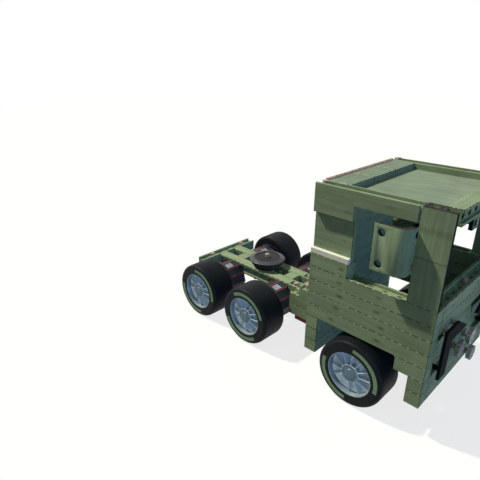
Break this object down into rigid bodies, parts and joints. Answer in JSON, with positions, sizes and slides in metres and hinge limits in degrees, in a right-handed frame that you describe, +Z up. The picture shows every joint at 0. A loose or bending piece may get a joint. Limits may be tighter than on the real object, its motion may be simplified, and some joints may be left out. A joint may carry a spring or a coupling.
{
  "type": "three-axle tractor unit built from wooden beams",
  "caption": "Cab-over tractor unit of pierced wooden beams, with an open cab, a turning coupling disc, steered front wheels and wheels that roll.",
  "frame": {"origin": "on the ground, under the middle of the length and width", "axes": "+X forward, +Y to the left, +Z up"},
  "size_m": [5, 2.52, 3.0523],
  "materials": {
    "painted_wood": "worn matt green paint over softwood grain",
    "painted_plate": "matt green paint with dark cut edges",
    "pale_strip": "satin off-white paint",
    "peg_wood": "bare turned softwood",
    "red_plate": "matt dark red paint",
    "black_metal": "matt black paint",
    "lamp_metal": "cast, worn",
    "motor_shell": "dark matt shell",
    "turntable_metal": "greased black steel",
    "axle_steel": "satin dark paint",
    "tyre": "smooth slick rubber",
    "rim_metal": "polished"
  },
  "bodies": {
    "root": {"cab_side_right": "painted_wood", "cab_top_rail_right": "painted_wood", "cab_side_left": "painted_wood", "cab_top_rail_left": "painted_wood", "side_panels": "painted_wood", "mudflaps": "painted_wood", "front_corners": "painted_wood", "frame_rails": "painted_wood", "cab_rear_wall": "painted_wood", "roof_panel": "painted_wood", "roof_front_beam": "painted_wood", "cowl_beam": "painted_wood", "front_fascia": "painted_wood", "front_apron": "painted_wood", "rail_ties": "painted_wood", "rear_crossbeam": "painted_wood", "side_blocks": "painted_wood", "deck_beams": "painted_wood", "pillars": "painted_plate", "mirrors": "painted_plate", "side_strips": "pale_strip", "underfloor_plates": "red_plate", "front_guards": "black_metal", "beam_pegs": "peg_wood", "roof_pegs": "peg_wood", "lamp_gears": "lamp_metal", "hub_motors_mid": "motor_shell", "hub_motors_rear": "motor_shell", "turntable_base": "black_metal", "front_axle": "axle_steel"},
    "turntable": {"turntable": "turntable_metal"},
    "knuckle_right": {"knuckle_right": "axle_steel"},
    "knuckle_left": {"knuckle_left": "axle_steel"},
    "wheel_front_right": {"tyre_front_right": "tyre", "rim_front_right": "rim_metal"},
    "wheel_front_left": {"tyre_front_left": "tyre", "rim_front_left": "rim_metal"},
    "wheel_mid_right": {"tyre_mid_right": "tyre", "rim_mid_right": "rim_metal"},
    "wheel_mid_left": {"tyre_mid_left": "tyre", "rim_mid_left": "rim_metal"},
    "wheel_rear_right": {"tyre_rear_right": "tyre", "rim_rear_right": "rim_metal"},
    "wheel_rear_left": {"tyre_rear_left": "tyre", "rim_rear_left": "rim_metal"}
  },
  "joints": [
    {"name": "turntable_turn", "type": "hinge", "parent": "root", "child": "turntable", "pos_m": [-1.273, 0, 0.94], "axis": [0, 0, 1], "continuous": true},
    {"name": "steer_right", "type": "hinge", "parent": "root", "child": "knuckle_right", "pos_m": [1.372, -0.86, 0.5], "axis": [0, 0, 1], "range_deg": [-22, 22]},
    {"name": "steer_left", "type": "hinge", "parent": "root", "child": "knuckle_left", "pos_m": [1.372, 0.86, 0.5], "axis": [0, 0, 1], "range_deg": [-22, 22]},
    {"name": "roll_front_right", "type": "hinge", "parent": "knuckle_right", "child": "wheel_front_right", "pos_m": [1.372, -1.009, 0.5], "axis": [0, 1, 0], "continuous": true},
    {"name": "roll_front_left", "type": "hinge", "parent": "knuckle_left", "child": "wheel_front_left", "pos_m": [1.372, 1.009, 0.5], "axis": [0, 1, 0], "continuous": true},
    {"name": "roll_mid_right", "type": "hinge", "parent": "root", "child": "wheel_mid_right", "pos_m": [-0.666, -1.009, 0.5], "axis": [0, 1, 0], "continuous": true},
    {"name": "roll_mid_left", "type": "hinge", "parent": "root", "child": "wheel_mid_left", "pos_m": [-0.666, 1.009, 0.5], "axis": [0, 1, 0], "continuous": true},
    {"name": "roll_rear_right", "type": "hinge", "parent": "root", "child": "wheel_rear_right", "pos_m": [-1.88, -1.009, 0.5], "axis": [0, 1, 0], "continuous": true},
    {"name": "roll_rear_left", "type": "hinge", "parent": "root", "child": "wheel_rear_left", "pos_m": [-1.88, 1.009, 0.5], "axis": [0, 1, 0], "continuous": true}
  ],
  "couplings": [
    {"joint": "steer_left", "follows": "steer_right", "ratio": 1}
  ]
}
